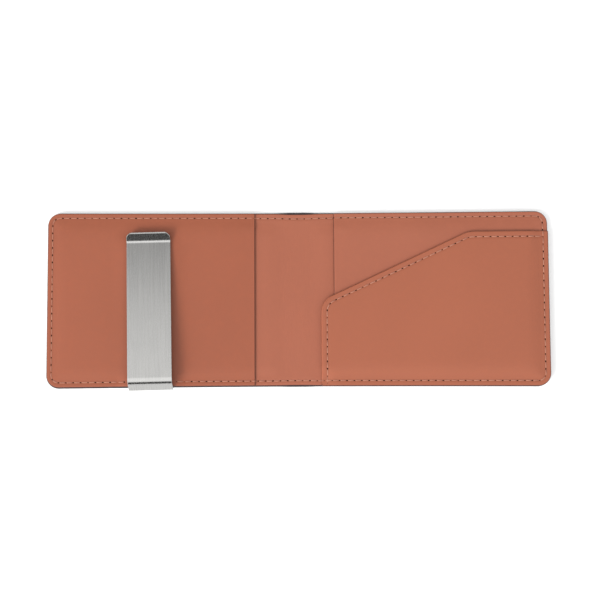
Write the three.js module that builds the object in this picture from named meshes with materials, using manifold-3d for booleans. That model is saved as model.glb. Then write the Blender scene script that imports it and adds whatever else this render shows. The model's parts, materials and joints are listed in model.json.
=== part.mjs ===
// A bifold wallet with a spring money clip, lying open with its inside up. Millimetres, +Z up.
// +X runs along the open wallet from the clip's cover to the pocket's cover, and +Y points away
// from the edge that the clip is pushed over. The origin is the middle of the spine's outer face,
// on the surface that the wallet lies on.
import * as THREE from "three";
import { mergeVertices } from "three/addons/utils/BufferGeometryUtils.js";
import Module from "manifold-3d";

const wasm = await Module();
wasm.setup();

// ---- Driving dimensions -------------------------------------------------------------------

// The open wallet.
const openWidth = 222;
const coverHeight = 78;
const cornerRadius = 5.8;
const spineWidth = 12.6; // between the two fold lines
const foldGap = 0.3; // left between the rigid stand-ins on each side of a fold line

// Leather, board and fabric thicknesses.
const shellThickness = 1.1;
const liningThickness = 0.8;
const boardThickness = 0.4;
const panelThickness = 0.9;
const fabricThickness = 0.2;
const hemThickness = 0.3;

// How the layers sit on each other.
const shellRim = 0.4; // the shell shows this much outside the layers that lie on it
const pocketRim = 0.15; // the card pocket is cut almost as large as the shell
const pocketGap = 0.3; // room left for cards and notes in an empty pocket
const layerGap = 0.3; // between leather pieces that lie side by side
const boardSetback = 3; // from the fold line
const boardClearance = 0.3; // round the edge of a board, in its lining
const liningWall = 0.4; // leather beside a board's edge
const pocketSeamMargin = 3.3; // stitched flat, from the shell's edge inwards

// The clip's panel and the slip panel end this far outside the fold lines, at the mouths of the
// pockets behind them.
const panelSetback = 12.6;
const slipSetback = 9.6;

// The card pocket: one straight side near the fold, a slanting mouth and a short level top.
const pocketSetback = 4; // from the fold line
const pocketTopDrop = 9.3; // below the top edge
const pocketLevelTop = 35.7; // from the right edge to where the slant starts
const pocketStraightSide = 38.1; // from the bottom edge to where the slant ends
const pocketUpperRadius = 12;
const pocketLowerRadius = 8;
const hemWidth = 5;

// Seams.
const stitchInset = 2.5; // from the shell's edge, or from the pocket's free edge
const threadWidth = 0.55;
const threadHeight = 0.22;
const grooveWidth = 1.15; // in the shell's outer face, where the lower thread lies
const grooveDepth = 0.3;
const threadRecess = 0.04; // the lower thread stays this far inside the outer face
const seamEndGap = 0.3;

// The clip: one strip of spring steel, bent round the bottom edge of its cover.
const clipWidth = 19.35;
const clipThickness = 0.7;
const clipFromEdge = 46.5; // the clip's middle at the bottom edge, from the left edge
const clipYaw = THREE.MathUtils.degToRad(1.2);
const clipBendRadius = 0.9; // centre line of the turn
const clipOverhang = 0.92; // how far the turn stands out past the shell's bottom edge
const clipFacetAngle = THREE.MathUtils.degToRad(60); // of the slanting face above the turn
const clipCreaseHeight = 4.8; // under the arm at the crease, above the panel
const clipCreaseRadius = 3;
const clipContactGap = 0.3; // under the contact line, where notes are held
const clipContactRadius = 1.6;
const clipTipDrop = 9.7; // from the top edge to the lip's tip
const clipLipReach = 3.6;
const clipLipRise = 2.8;
const clipLipCorner = 2.8;
const clipLegDrop = 16.25; // from the top edge to the end of the leg
const clipLegCorner = 4;
const clipSplitGap = 0.3; // between the two halves of the strip, where it flexes
const clipPlay = 0.05; // above and below the leg
const sleeveThickness = 0.3;
const sleeveSidePlay = 0.2;
const sleeveRoom = 0.15; // between the sleeve and the panel
const channelWall = 0.6; // leather beside the raised strip over the sleeve

// ---- Levels and places that follow --------------------------------------------------------

const halfWidth = openWidth / 2;
const halfHeight = coverHeight / 2;
const foldX = spineWidth / 2;
const coverEndX = foldX + foldGap / 2;
const spineEndX = foldX - foldGap / 2;
const threadEndGap = threadHeight + foldGap / 2; // so that upper threads pass as the wallet folds

const shellTop = shellThickness;
const liningTop = shellTop + liningThickness; // at the seams and over the spine
const raisedLiningTop = liningTop + boardThickness; // over a board
const pocketFloor = raisedLiningTop + pocketGap; // underside of a panel over its pocket
const panelSeamTop = liningTop + panelThickness; // where a panel is stitched flat
const panelTop = pocketFloor + panelThickness; // where it is lifted over its pocket
const cardFloor = panelTop + pocketGap; // underside of the card pocket's lining
const cardCeiling = cardFloor + fabricThickness;
const pocketSeamTop = panelSeamTop + panelThickness;
const pocketTop = cardCeiling + panelThickness;

// A lifted piece has a wall round it, which stands inside the wall of the piece above it.
const seamMargin = pocketSeamMargin + panelThickness + layerGap;
const boardInset = seamMargin + panelThickness + layerGap + liningWall + boardClearance;

const panelMouthX = -(foldX + panelSetback);
const slipMouthX = foldX + slipSetback;
const pocketLeftX = foldX + pocketSetback;
const pocketTopY = halfHeight - pocketTopDrop;
const pocketKneeX = halfWidth - pocketLevelTop;
const pocketKneeY = -halfHeight + pocketStraightSide;

const clipX = -halfWidth + clipFromEdge;
const clipLegBottom = liningTop + sleeveThickness + clipPlay;
const clipLegTop = clipLegBottom + clipThickness;
const channelLift = clipLegTop + clipPlay - liningTop;
const channelTop = liningTop + channelLift + panelThickness;
const sleeveHalfWidth = clipWidth / 2 + sleeveSidePlay + sleeveThickness;
const channelHalfWidth = sleeveHalfWidth + sleeveRoom;
const notchMargin = channelWall + liningWall + boardClearance; // from the channel to the board
const clipLegEnd = coverHeight - clipLegDrop;
const channelEnd = clipLegEnd + sleeveThickness + sleeveRoom;
const beyond = 10; // how far a cutting shape runs past what it opens

// ---- Outlines -----------------------------------------------------------------------------

// A corner is [x, y, radius]. The outline is straight between corners and round at each one.
function outline(corners) {
  const shape = new THREE.Shape();
  corners.forEach((corner, i) => {
    const before = corners.at(i - 1);
    const after = corners[(i + 1) % corners.length];
    const [x, y, radius = 0] = corner;
    const into = new THREE.Vector2(x - before[0], y - before[1]).normalize();
    const out = new THREE.Vector2(after[0] - x, after[1] - y).normalize();
    const turn = Math.atan2(into.cross(out), into.dot(out));
    const add = i ? "lineTo" : "moveTo";
    if (radius <= 0 || Math.abs(turn) < 1e-6) {
      shape[add](x, y);
      return;
    }
    const side = Math.sign(turn);
    const tangent = radius * Math.tan(Math.abs(turn) / 2);
    const start = new THREE.Vector2(x, y).addScaledVector(into, -tangent);
    const centreX = start.x - side * radius * into.y;
    const centreY = start.y + side * radius * into.x;
    const from = Math.atan2(start.y - centreY, start.x - centreX);
    shape[add](start.x, start.y);
    shape.absarc(centreX, centreY, radius, from, from + turn, turn < 0);
  });
  shape.closePath();
  return shape;
}

// The corners of an open path moved sideways, to its left for a positive distance.
function moved(path, distance) {
  return path.map(([x, y, radius = 0], i) => {
    const before = path[Math.max(i - 1, 0)];
    const after = path[Math.min(i + 1, path.length - 1)];
    const here = new THREE.Vector2(x, y);
    const into = here.clone().sub(new THREE.Vector2(before[0], before[1])).normalize();
    const out = new THREE.Vector2(after[0], after[1]).sub(here).normalize();
    if (i === 0) into.copy(out);
    if (i === path.length - 1) out.copy(into);
    const normal = new THREE.Vector2(-into.y - out.y, into.x + out.x);
    normal.multiplyScalar(distance / (1 + into.dot(out)));
    const turn = Math.sign(into.cross(out));
    return [x + normal.x, y + normal.y, radius ? radius - turn * distance : 0];
  });
}

// A strip of constant width along an open path.
function ribbon(path, width) {
  return outline([...moved(path, width / 2), ...moved(path, -width / 2).reverse()]);
}

// One cover's outline from innerX out to its rounded outer corners. Side is -1 for the left.
function coverOutline(side, innerX, inset) {
  const outerX = side * (halfWidth - inset);
  const y = halfHeight - inset;
  const radius = Math.max(cornerRadius - inset, 0.5);
  return outline([
    [innerX, -y, 0],
    [outerX, -y, radius],
    [outerX, y, radius],
    [innerX, y, 0],
  ]);
}

function rectangle(x0, y0, x1, y1) {
  return outline([[x0, y0, 0], [x1, y0, 0], [x1, y1, 0], [x0, y1, 0]]);
}

// ---- Solids -------------------------------------------------------------------------------

function slab(shape, bottom, top) {
  const options = { depth: top - bottom, bevelEnabled: false, curveSegments: 4 };
  return new THREE.ExtrudeGeometry(shape, options).translate(0, 0, bottom);
}

function solid(geometry) {
  const bare = geometry.clone();
  bare.deleteAttribute("normal");
  bare.deleteAttribute("uv");
  const merged = mergeVertices(bare, 1e-4);
  return new wasm.Manifold(
    new wasm.Mesh({
      numProp: 3,
      vertProperties: new Float32Array(merged.attributes.position.array),
      triVerts: new Uint32Array(merged.index.array),
    }),
  );
}

function block(shape, bottom, top) {
  return solid(slab(shape, bottom, top));
}

function geometryOf(body) {
  const mesh = body.getMesh();
  const geometry = new THREE.BufferGeometry();
  geometry.setAttribute("position", new THREE.BufferAttribute(mesh.vertProperties, 3));
  geometry.setIndex(new THREE.BufferAttribute(mesh.triVerts, 1));
  geometry.computeVertexNormals();
  return geometry;
}

// ---- Materials ----------------------------------------------------------------------------

const darkLeather = new THREE.MeshStandardMaterial({ color: 0x2a2122, roughness: 0.55 });
const tanLeather = new THREE.MeshStandardMaterial({ color: 0xb96c53, roughness: 0.6 });
const tanThread = new THREE.MeshStandardMaterial({ color: 0xd99a82, roughness: 0.7 });
const darkThread = new THREE.MeshStandardMaterial({ color: 0x1c1718, roughness: 0.7 });
const greyBoard = new THREE.MeshStandardMaterial({ color: 0x8d8478, roughness: 0.9 });
const brownFabric = new THREE.MeshStandardMaterial({ color: 0x5b3a2c, roughness: 0.95 });
const brushedSteel = new THREE.MeshStandardMaterial({
  color: 0xb9bab6,
  roughness: 0.32,
  metalness: 1,
});

const wallet = new THREE.Group();

function add(name, geometry, material, parent = wallet) {
  const mesh = new THREE.Mesh(geometry, material);
  mesh.name = name;
  parent.add(mesh);
  return mesh;
}

// ---- The clip's own frame -----------------------------------------------------------------

// The clip's frame has its origin at the bottom edge of the cover, under the middle of the clip,
// with its Y along the clip. The clip sits a little askew in its sleeve.
const clip = new THREE.Group();
clip.position.set(clipX, -halfHeight, 0);
clip.rotation.z = clipYaw;
wallet.add(clip);
clip.updateMatrix();

function clipRectangle(halfAcross, from, to) {
  const flat = [[-halfAcross, from], [halfAcross, from], [halfAcross, to], [-halfAcross, to]];
  return outline(
    flat.map(([x, y]) => {
      const placed = new THREE.Vector3(x, y, 0).applyMatrix4(clip.matrix);
      return [placed.x, placed.y, 0];
    }),
  );
}

// ---- Outer shell --------------------------------------------------------------------------

// The edge seam runs a constant distance inside the shell's edge. The cover's part of it goes
// from the fold line round the outer corners and back.
const seamX = halfWidth - stitchInset;
const seamY = halfHeight - stitchInset;
const seamRadius = Math.max(cornerRadius - stitchInset, grooveWidth);
// The seam stops on each side of the raised strip over the clip's leg.
const seamStop = channelHalfWidth + channelWall + seamEndGap;
const seamStopLeft = clipX - seamStop - stitchInset * Math.tan(clipYaw);
const seamStopRight = clipX + seamStop;

function seamPaths(coverStart, spineEnd) {
  return {
    leftUpper: [
      [-coverStart, seamY],
      [-seamX, seamY, seamRadius],
      [-seamX, -seamY, seamRadius],
      [seamStopLeft, -seamY],
    ],
    leftLower: [[seamStopRight, -seamY], [-coverStart, -seamY]],
    spineUpper: [[-spineEnd, seamY], [spineEnd, seamY]],
    spineLower: [[-spineEnd, -seamY], [spineEnd, -seamY]],
    right: [
      [coverStart, -seamY],
      [seamX, -seamY, seamRadius],
      [seamX, seamY, seamRadius],
      [coverStart, seamY],
    ],
  };
}

const seams = seamPaths(foldX + threadEndGap, foldX - threadEndGap);
// The grooves run past the fold lines, so that they are open at their ends there.
const grooves = seamPaths(foldX - foldGap, foldX + foldGap);
const groovesOf = {
  left: [grooves.leftUpper, grooves.leftLower],
  spine: [grooves.spineUpper, grooves.spineLower],
  right: [grooves.right],
};

function shell(part, shape) {
  return groovesOf[part].reduce(
    (body, path) => body.subtract(block(ribbon(path, grooveWidth), -1, grooveDepth)),
    block(shape, 0, shellTop),
  );
}

const spineShape = rectangle(-spineEndX, -halfHeight, spineEndX, halfHeight);
const shellShapes = {
  left: coverOutline(-1, -coverEndX, 0),
  spine: spineShape,
  right: coverOutline(1, coverEndX, 0),
};
for (const [part, shape] of Object.entries(shellShapes)) {
  add(`outer_shell_${part}`, geometryOf(shell(part, shape)), darkLeather);
}

// ---- Stiffening boards --------------------------------------------------------------------

const boardOuterX = halfWidth - boardInset;
const boardInnerX = foldX + boardSetback;
const boardY = halfHeight - boardInset;

// The left board is cut away under the clip's leg. Grow makes the same outline larger all round.
function board(side, grow, bottom, top) {
  const x = [side * (boardInnerX - grow), side * (boardOuterX + grow)];
  const body = block(rectangle(x[0], -boardY - grow, x[1], boardY + grow), bottom, top);
  if (side > 0) return body;
  const margin = notchMargin - grow;
  const notch = clipRectangle(channelHalfWidth + margin, -beyond, channelEnd + margin);
  return body.subtract(block(notch, bottom - 1, top + 1));
}

const boardBottom = shellTop;
const boardTop = boardBottom + boardThickness;
add("board_left", geometryOf(board(-1, 0, boardBottom, boardTop)), greyBoard);
add("board_right", geometryOf(board(1, 0, boardBottom, boardTop)), greyBoard);

// ---- Inner lining -------------------------------------------------------------------------

// The lining lies flat on the shell and steps up over the board.
function lining(side) {
  const flat = block(coverOutline(side, side * coverEndX, shellRim), shellTop, liningTop);
  const over = board(side, boardClearance + liningWall, shellTop, raisedLiningTop);
  const room = board(side, boardClearance, shellTop - 1, boardTop);
  return flat.add(over).subtract(room);
}

add("lining_left", geometryOf(lining(-1)), tanLeather);
add("lining_right", geometryOf(lining(1)), tanLeather);
const spineLiningY = halfHeight - shellRim;
const spineLiningShape = rectangle(-spineEndX, -spineLiningY, spineEndX, spineLiningY);
add("lining_spine", slab(spineLiningShape, shellTop, liningTop), tanLeather);

// ---- Inner panels -------------------------------------------------------------------------

// Each inside panel is stitched down on three sides, with a pocket behind it that has its mouth
// towards the fold.
function innerPanel(side, mouthX) {
  const pastMouth = mouthX - side * beyond;
  const flat = block(coverOutline(side, mouthX, shellRim), liningTop, panelSeamTop);
  const lifted = block(coverOutline(side, mouthX, seamMargin), liningTop, panelTop);
  const room = coverOutline(side, pastMouth, seamMargin + panelThickness);
  return flat.add(lifted).subtract(block(room, liningTop - 1, pocketFloor));
}

// The clip's panel is raised again over the sleeve for the clip's leg, which opens at the
// bottom edge.
function clipPanel() {
  const overLeg = clipRectangle(channelHalfWidth + channelWall, -beyond, channelEnd + channelWall);
  const legRoom = clipRectangle(channelHalfWidth, -beyond, channelEnd);
  const edge = block(coverOutline(-1, panelMouthX, shellRim), liningTop, channelTop);
  return innerPanel(-1, panelMouthX)
    .add(block(overLeg, liningTop, channelTop).intersect(edge))
    .subtract(block(legRoom, liningTop - 1, liningTop + channelLift));
}

add("clip_panel", geometryOf(clipPanel()), tanLeather);
add("slip_panel", geometryOf(innerPanel(1, slipMouthX)), tanLeather);

// A fabric channel under the panel that the clip's leg slides in, closed at its inner end.
function clipSleeve() {
  const from = shellRim;
  const shape = (halfAcross, start, end) => rectangle(-halfAcross, start, halfAcross, end);
  const outside = shape(sleeveHalfWidth, from, clipLegEnd + sleeveThickness);
  const inside = shape(clipWidth / 2 + sleeveSidePlay, from - 1, clipLegEnd);
  const floor = liningTop + sleeveThickness;
  return block(outside, liningTop, clipLegTop).subtract(block(inside, floor, clipLegTop + 1));
}

add("clip_sleeve", geometryOf(clipSleeve()), brownFabric, clip);

// ---- Money clip ---------------------------------------------------------------------------

// The strip's centre line, seen from the side as [along the clip, height, bend radius]. The leg
// and the turn round the edge are one half. The slanting face, the arm and the lip are the other.
const legHeight = clipLegBottom + clipThickness / 2;
const hingeHeight = legHeight + clipBendRadius; // the flexing axis, in the middle of the turn
const turnCentre = -clipOverhang + clipThickness / 2 + clipBendRadius;
const turnCorner = turnCentre - clipBendRadius / Math.tan(clipFacetAngle / 2);
const creaseHeight = channelTop + clipCreaseHeight + clipThickness / 2;
const creaseAlong = turnCorner + (creaseHeight - legHeight) / Math.tan(clipFacetAngle);
const contactHeight = channelTop + clipContactGap + clipThickness / 2;
const tipAlong = coverHeight - clipTipDrop;

// A place on the slanting face, this far above the end of the turn.
function onFacet(distance) {
  const cos = Math.cos(clipFacetAngle);
  const sin = Math.sin(clipFacetAngle);
  return [
    turnCentre - clipBendRadius * sin + distance * cos,
    hingeHeight + clipBendRadius * cos + distance * sin,
  ];
}

const legPath = [
  [clipLegEnd - clipSplitGap, legHeight],
  [turnCorner, legHeight, clipBendRadius],
  onFacet(0.01),
];
const armPath = [
  onFacet(clipSplitGap),
  [creaseAlong, creaseHeight, clipCreaseRadius],
  [tipAlong - clipLipReach, contactHeight, clipContactRadius],
  [tipAlong, contactHeight + clipLipRise],
];

// Half of the strip, stood up from its side view, with the corners of its far end rounded.
function stripHalf(path, end, corner) {
  const half = clipWidth / 2;
  const upright = new THREE.Matrix4().makeBasis(
    new THREE.Vector3(0, 1, 0),
    new THREE.Vector3(0, 0, 1),
    new THREE.Vector3(1, 0, 0),
  );
  const strip = slab(ribbon(path, clipThickness), -half, half).applyMatrix4(upright);
  const plan = outline([
    [-half, -beyond],
    [half, -beyond],
    [half, end, corner],
    [-half, end, corner],
  ]);
  return solid(strip).intersect(block(plan, 0, creaseHeight + beyond));
}

const clipLeg = stripHalf(legPath, clipLegEnd - clipSplitGap, clipLegCorner);
add("clip_leg", geometryOf(clipLeg), brushedSteel, clip);
add("clip_arm", geometryOf(stripHalf(armPath, tipAlong, clipLipCorner)), brushedSteel, clip);

// ---- Card pocket --------------------------------------------------------------------------

// The pocket is stitched down along its bottom and right edges. Its other edges are free, and
// have their leather turned under. Rim says how far inside the shell the stitched edges are.
function pocketCorners(rim, freeShift = 0) {
  const bottomY = -halfHeight + rim;
  const rightX = halfWidth - rim;
  const slope = Math.atan2(pocketTopY - pocketKneeY, pocketKneeX - pocketLeftX);
  const lowerShift = freeShift * Math.tan((Math.PI / 2 - slope) / 2);
  const upperShift = freeShift * Math.tan(slope / 2);
  const leftX = pocketLeftX + freeShift;
  const topY = pocketTopY - freeShift;
  return {
    free: [
      [leftX, bottomY],
      [leftX, pocketKneeY - lowerShift, Math.max(pocketLowerRadius - freeShift, 0.5)],
      [pocketKneeX + upperShift, topY, Math.max(pocketUpperRadius - freeShift, 0.5)],
      [rightX, topY],
    ],
    corner: [rightX, bottomY, Math.max(cornerRadius - rim, 0.5)],
  };
}

function pocketOutline(rim, freeShift = 0) {
  const { free, corner } = pocketCorners(rim, freeShift);
  return outline([...free, corner]);
}

// The pocket lies on the slip panel, and steps down to the lining beside the panel's mouth.
function pocketPanel() {
  const sewn = pocketOutline(pocketRim);
  const beside = rectangle(foldX, -halfHeight, slipMouthX - layerGap, pocketTopY);
  const step = block(sewn, liningTop, pocketSeamTop).intersect(block(beside, 0, pocketSeamTop));
  const lifted = block(pocketOutline(pocketSeamMargin), panelSeamTop, pocketTop);
  const room = block(
    pocketOutline(pocketSeamMargin + panelThickness, -beyond),
    liningTop - 1,
    cardCeiling,
  );
  const hemPath = pocketCorners(pocketSeamMargin, hemWidth / 2).free;
  const hem = block(ribbon(hemPath, hemWidth), cardCeiling - hemThickness, pocketTop);
  return block(sewn, panelSeamTop, pocketSeamTop)
    .add(step)
    .add(lifted)
    .subtract(room)
    .add(hem.intersect(lifted));
}

add("pocket_panel", geometryOf(pocketPanel()), tanLeather);

const pocketLiningRim = pocketSeamMargin + panelThickness + layerGap;
const pocketLiningShape = pocketOutline(pocketLiningRim, hemWidth + layerGap);
add("pocket_lining", slab(pocketLiningShape, cardFloor, cardCeiling), brownFabric);

// ---- Threads ------------------------------------------------------------------------------

// The upper thread lies on the leather, and climbs at the edge of each panel that it crosses.
// The layers go from the lowest up. Each has a top, and a plan that can be made larger all round
// by a distance, so that the thread climbs just outside the layer's edge.
function upperThread(path, layers) {
  const ceiling = layers.at(-1).top + threadHeight;
  return layers.reduce((thread, { plan, top }, i) => {
    const air = layers
      .slice(i + 1)
      .reduce(
        (body, above) => body.subtract(block(above.plan(threadHeight), 0, ceiling + 2)),
        block(plan(threadHeight), top + threadHeight, ceiling + 1),
      );
    return thread.subtract(air).subtract(block(plan(0), 0, top));
  }, block(ribbon(path, threadWidth), liningTop, ceiling));
}

const far = openWidth;
const liningLayer = { plan: () => rectangle(-far, -far, far, far), top: liningTop };
const clipPanelLayer = {
  plan: (grow) => rectangle(-far, -far, panelMouthX + grow, far),
  top: panelSeamTop,
};
const slipPanelLayer = {
  plan: (grow) => rectangle(slipMouthX - grow, -far, far, far),
  top: panelSeamTop,
};
const pocketLayer = {
  plan: (grow) => pocketOutline(pocketRim - beyond, -grow),
  top: pocketSeamTop,
};
const leftLayers = [liningLayer, clipPanelLayer];
const rightLayers = [liningLayer, slipPanelLayer, pocketLayer];
const upperThreads = {
  left_upper: upperThread(seams.leftUpper, leftLayers),
  left_lower: upperThread(seams.leftLower, leftLayers),
  right: upperThread(seams.right, rightLayers),
};
for (const [place, thread] of Object.entries(upperThreads)) {
  add(`edge_thread_${place}`, geometryOf(thread), tanThread);
}
for (const place of ["spineUpper", "spineLower"]) {
  const thread = slab(ribbon(seams[place], threadWidth), liningTop, liningTop + threadHeight);
  add(`edge_thread_${place.replace("U", "_u").replace("L", "_l")}`, thread, tanThread);
}

// The pocket's own seam follows its free edges and stops short of the edge seam.
const pocketSeamPath = pocketCorners(pocketSeamMargin, stitchInset).free;
const pocketThread = slab(ribbon(pocketSeamPath, threadWidth), pocketTop, pocketTop + threadHeight);
add("pocket_thread", pocketThread, tanThread);

// The lower thread lies in the groove in the shell's outer face.
const lowerThreads = {
  left_upper: seams.leftUpper,
  left_lower: seams.leftLower,
  spine_upper: seams.spineUpper,
  spine_lower: seams.spineLower,
  right: seams.right,
};
for (const [place, path] of Object.entries(lowerThreads)) {
  const thread = slab(ribbon(path, threadWidth), threadRecess, grooveDepth);
  add(`back_thread_${place}`, thread, darkThread);
}

export default wallet;
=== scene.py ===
"""The looks of an open money clip wallet: leather covers, seams, card pocket and brushed steel clip."""
import json
import math

import bmesh
import bpy
import numpy as np
from mathutils import Matrix, Vector, geometry, noise


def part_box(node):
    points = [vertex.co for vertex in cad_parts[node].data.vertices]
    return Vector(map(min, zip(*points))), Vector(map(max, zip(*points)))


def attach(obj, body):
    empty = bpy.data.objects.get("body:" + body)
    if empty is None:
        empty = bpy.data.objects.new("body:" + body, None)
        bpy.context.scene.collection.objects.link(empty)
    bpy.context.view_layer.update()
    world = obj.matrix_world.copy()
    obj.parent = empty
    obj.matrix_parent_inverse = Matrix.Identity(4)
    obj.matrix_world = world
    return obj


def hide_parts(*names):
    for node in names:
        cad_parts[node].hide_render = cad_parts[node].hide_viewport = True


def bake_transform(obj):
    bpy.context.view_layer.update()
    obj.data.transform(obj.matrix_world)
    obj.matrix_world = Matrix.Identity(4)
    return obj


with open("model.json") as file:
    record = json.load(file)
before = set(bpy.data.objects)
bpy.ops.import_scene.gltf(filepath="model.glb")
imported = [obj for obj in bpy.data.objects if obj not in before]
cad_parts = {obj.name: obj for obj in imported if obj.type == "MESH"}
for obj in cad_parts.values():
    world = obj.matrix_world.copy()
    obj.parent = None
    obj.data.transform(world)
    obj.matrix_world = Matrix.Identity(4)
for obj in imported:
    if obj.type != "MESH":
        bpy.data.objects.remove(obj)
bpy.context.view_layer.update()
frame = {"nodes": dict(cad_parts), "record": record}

MM = 0.001

# ---- Sizes in millimetres ----

CORNER_RADIUS = 5.8
EDGE_ROUNDING = 0.3
SHELL_EDGE_ROUNDING = 0.45
SHARP_CORNER = 0.35  # radius of a corner that is cut square
PANEL_THICKNESS = 0.9
LINING_THICKNESS = 0.8
RIM = 0.4  # the shell shows this much outside the lining and panels
POCKET_RIM = 0.15
PANEL_LIFT = 0.5  # how far a panel rises from its seam to its middle
POCKET_LIFT = 1.0
BOARD_EDGE = (5.6, 6.8)  # the lining rises over a board between these distances from the edge
PANEL_RISE = (3.2, 7.5)  # a panel rises between these
POCKET_RISE = (3, 8.5)  # and the pocket between these
LINING_BED = (1.4, 0.5)  # the lining is low this far round the clip's leg, then this soft edge
CHANNEL_EDGE = (0.75, 5)  # the same for the clip panel, which is high over the leg
WAVE_LENGTH = 26
WAVE_HEIGHT = 0.06
HEM_WIDTH = 5
HEM_THICKNESS = 0.28
WAIST = 0.5  # each long edge draws in this much towards the middle of the wallet
SPINE_DIP = {1: 0.3, -1: 0.12}  # at the spine the lining draws in further, at the top and bottom
SPINE_BULGE = {1: 0.25, -1: 0.12}  # and the shell stands out

STITCH_INSET = 2.5
STITCH_PITCH = 3.25
STITCH_SHARE = 0.8  # of the pitch that a stitch covers
STITCH_HALF_WIDTH = 0.24
STITCH_HALF_HEIGHT = 0.17
STITCH_SLANT = 0.06
STITCH_SINK = 0.22  # a stitch's ends are this far below the leather beside the seam
STITCH_ARCH = 0.17  # its middle is this much higher than its ends
LOOSE_ARCH = 0.04  # and this much higher again where it is loosest
BACK_STITCH_ARCH = 0.3  # the share of these three heights that a back stitch has
BACK_SEAM_HEIGHT = 0.18  # above the table, where the heights of the back seam are counted from
HOLE_LENGTH = 0.5
HOLE_WIDTH = 0.36
HOLE_LIFT = 0.02  # its mark stands this far above the bottom of the groove
HOLE_DOME = 0.03  # and its middle this much higher
HOLE_UNDERSIDE = 0.05
GROOVE_DEPTH = 0.12
GROOVE_WIDTH = 0.5
BACK_GROOVE_DEPTH = 0.25  # in the shell's outer face, so that its stitches stay off the floor

SEAM_TO_CLIP = 11.5  # from the end of the edge seam to the middle of the clip on its right
POCKET_SEAM_FOOT = 1.3  # from the cover's edge to the start of the pocket's seam
POCKET_SEAM_SHORT = 0.6  # from the end of the pocket's seam to the edge seam

POCKET_UPPER_RADIUS = 12
POCKET_LOWER_RADIUS = 8
POCKET_LEVEL_TOP = 35.7
POCKET_STRAIGHT_SIDE = 38.1

CLIP_WIDTH = 19.35
CLIP_THICKNESS = 0.7
CLIP_BEND_RADIUS = 0.9
CLIP_FACET_ANGLE = math.radians(60)
CLIP_CREASE_HEIGHT = 4.8  # under the arm, above the panel
CLIP_CREASE_RADIUS = 3
CLIP_CONTACT_GAP = 0.3
CLIP_CONTACT_RADIUS = 1.6
CLIP_LIP_REACH = 3.6
CLIP_LIP_RISE = 2.8
CLIP_LIP_CORNER = 2.8
CLIP_LEG_CORNER = 4
CLIP_BOW = 0.3  # how far the arm's middle arches up from straight
CLIP_EDGE_ROUNDING = 0.16
CLIP_END_ROUNDING = 0.3
CLIP_LEG_SHORT = 0.1  # the strip ends this far short of the CAD's leg
CLIP_SECTIONS = 420
# Where it has more sections, from each end.
CLIP_END_SECTIONS = [0.03, 0.12, 0.3, 0.6, 1, 1.5, 2.1, 2.8, 3.4, 4]
SLEEVE_GAP = 0.22  # from the clip's leg to the cloth at each side of it
SLEEVE_PLY = 0.2
SLEEVE_SHORT = 0.6  # the cloth ends this far short of the leg's two ends
CLOTH_THICKNESS = 0.14

# The insets of a sheet's rings of points, which are closest round its seam.
SEAM_RINGS = [0.7, 1.1, 1.45, 1.75, 1.95, 2.15, 2.35, 2.55, 2.8, 3.2, 3.8, 4.6]
PLAIN_RINGS = [1.2, 3.2]
FAR_INSIDE = 9.0  # the inset noted for points inside the rings
FILL_SPACING = 3
LINE_STEP = 1.6  # between points along an outline's straight lines
ARC_STEP = 0.55  # and round its corners

# ---- Colours, as 0 to 255 display values ----

PANEL_TAN = (135, 74, 52)
LINING_TAN = (142, 81, 60)
POCKET_TAN = (141, 79, 56)
PAINTED_EDGE = (70, 36, 28)
POCKET_PAINTED_EDGE = (80, 42, 32)
OUTER_LEATHER = (42, 31, 33)
OUTER_PAINTED_EDGE = (28, 20, 21)
INNER_THREAD = (160, 108, 86)
INNER_THREAD_SHADE = (136, 78, 58)
OUTER_THREAD = (62, 50, 50)
OUTER_THREAD_SHADE = (30, 23, 24)
# the stitch holes' colours are painted shade, the shadow inside each punched hole
INNER_HOLE_SHADE = (44, 16, 10)
OUTER_HOLE_SHADE = (14, 10, 11)
LINING_CLOTH = (106, 70, 54)
BOARD_GREY = (150, 140, 128)
STEEL_COLOUR = (0.39, 0.386, 0.376, 1)  # linear

# ---- Light and camera, in metres ----

CAMERA_TILT = math.radians(5.5)  # from straight above, towards the edge that the clip hooks over
CAMERA_ROLL = math.radians(0.288)
CAMERA_DISTANCE = 0.602
CAMERA_AIM = (0.0009, -0.0004, 0.002)
VIEW_WIDTH = 0.26493  # seen at the aim point
FLOOR_GREY = 0.62
FLOOR_GLOW = 0.3
FLOOR_REACH = 3
FLOOR_DROP = 0.0004  # under the wallet
KEY_LIGHT_PLACE = (-1.05, -0.9, 1.15)
KEY_LIGHT_SIZE = 0.7
KEY_LIGHT_POWER = 28
WORLD_STRENGTH = 1.87
WORLD_SIDE_CHANGE = 0.2  # the sky is brighter by this share at the left, and dimmer at the right
# How bright the sky is, by the y of its direction: -1 is level in front and 1 is level behind.
LIGHT_BOX = [
    (-1, 0.02), (-0.85, 0.02), (-0.75, 1), (0.05, 1), (0.13, 0.68),
    (0.2, 0.84), (0.26, 0.6), (0.31, 0.24), (0.45, 0.2), (1, 0.35),
]

# ---- Places that the frame gives ----


def box_mm(node):
    """The lowest and highest corners of a CAD node, in millimetres."""
    low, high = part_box(node)
    return np.array(low) / MM, np.array(high) / MM


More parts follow.
